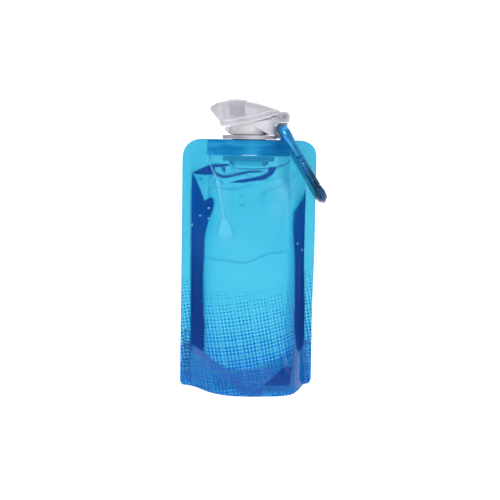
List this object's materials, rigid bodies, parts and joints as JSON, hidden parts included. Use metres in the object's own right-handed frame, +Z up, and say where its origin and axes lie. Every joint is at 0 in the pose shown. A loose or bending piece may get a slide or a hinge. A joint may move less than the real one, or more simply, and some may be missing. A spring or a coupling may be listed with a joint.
{
  "type": "collapsible water bottle",
  "caption": "Clear tinted film pouch bottle with a standing base gusset, frosted screw cap with flip lid over a soft spout, and a hanging carabiner clip.",
  "frame": {"origin": "on the surface the bottle stands on, under the neck's axis", "axes": "+Z up along the neck's axis, +X to the hinge and carabiner side, -Y to the front film wall"},
  "size_m": [0.1171, 0.067, 0.2327],
  "materials": {
    "tinted_film": "glossy clear film",
    "gusset_film": "glossy clear film",
    "blue_translucent_plastic": "translucent moulded",
    "ring_plastic": "frosted",
    "frosted_plastic": "frosted",
    "frosted_lid_plastic": "frosted",
    "grey_silicone": "satin",
    "white_silicone": "matt",
    "blue_anodised_aluminium": "anodised satin",
    "stainless_steel": "satin"
  },
  "bodies": {
    "root": {"spout_fitment": "blue_translucent_plastic", "base_gusset_panel": "gusset_film"},
    "front_wall": {"front_film_panel": "tinted_film"},
    "back_wall": {"back_film_panel": "tinted_film"},
    "tether": {"tether_ring": "ring_plastic"},
    "cap_gasket": {"cap_seal_ring": "white_silicone"},
    "cap": {"cap_body": "frosted_plastic", "drinking_spout": "grey_silicone", "lid_hinge_pin": "stainless_steel"},
    "lid": {"flip_lid": "frosted_lid_plastic", "lid_plug_seal": "white_silicone"},
    "carabiner": {"carabiner_body": "blue_anodised_aluminium", "gate_pivot_pin": "stainless_steel"},
    "gate": {"carabiner_gate": "blue_anodised_aluminium", "gate_latch_pin": "stainless_steel", "gate_spring": "stainless_steel"},
    "plunger": {"gate_plunger": "stainless_steel"}
  },
  "joints": [
    {"name": "pouch_flatten", "type": "slide", "parent": "root", "child": "front_wall", "axis": [0, 1, 0], "range_m": [0, 0.032], "deforming": ["front_film_panel", "base_gusset_panel"]},
    {"name": "pouch_flatten_back", "type": "slide", "parent": "root", "child": "back_wall", "axis": [0, -1, 0], "range_m": [0, 0.032], "deforming": ["back_film_panel"]},
    {"name": "tether_swivel", "type": "hinge", "parent": "root", "child": "tether", "pos_m": [0, 0, 0.203], "axis": [0, 0, 1], "range_deg": [-8, 8]},
    {"name": "cap_lift", "type": "slide", "parent": "root", "child": "cap_gasket", "axis": [0, 0, 1], "range_m": [0, 0.0061]},
    {"name": "cap_turn", "type": "hinge", "parent": "cap_gasket", "child": "cap", "pos_m": [0, 0, 0.209], "axis": [0, 0, 1], "range_deg": [0, 360]},
    {"name": "lid_flip", "type": "hinge", "parent": "cap", "child": "lid", "pos_m": [0.027, 0, 0.2193], "axis": [0, 1, 0], "range_deg": [0, 130]},
    {"name": "carabiner_swing", "type": "hinge", "parent": "tether", "child": "carabiner", "pos_m": [0.0253, 0, 0.2099], "axis": [0, -1, 0], "range_deg": [0, 60]},
    {"name": "gate_open", "type": "hinge", "parent": "carabiner", "child": "gate", "pos_m": [0.04014, -0.014, 0.18615], "axis": [0.848, 0, 0.5299], "range_deg": [0, 20], "stiffness_Nm_per_rad": 0.03, "springref_deg": -17.19},
    {"name": "plunger_travel", "type": "slide", "parent": "gate", "child": "plunger", "axis": [0.5299, 0, -0.848], "range_m": [0, 0.0007], "deforming": ["gate_spring"]}
  ],
  "couplings": [
    {"joint": "pouch_flatten_back", "follows": "pouch_flatten", "ratio": 1},
    {"joint": "cap_lift", "follows": "cap_turn", "m_per_rad": 0.00095493},
    {"joint": "plunger_travel", "follows": "gate_open", "m_per_rad": 0.0020033}
  ]
}
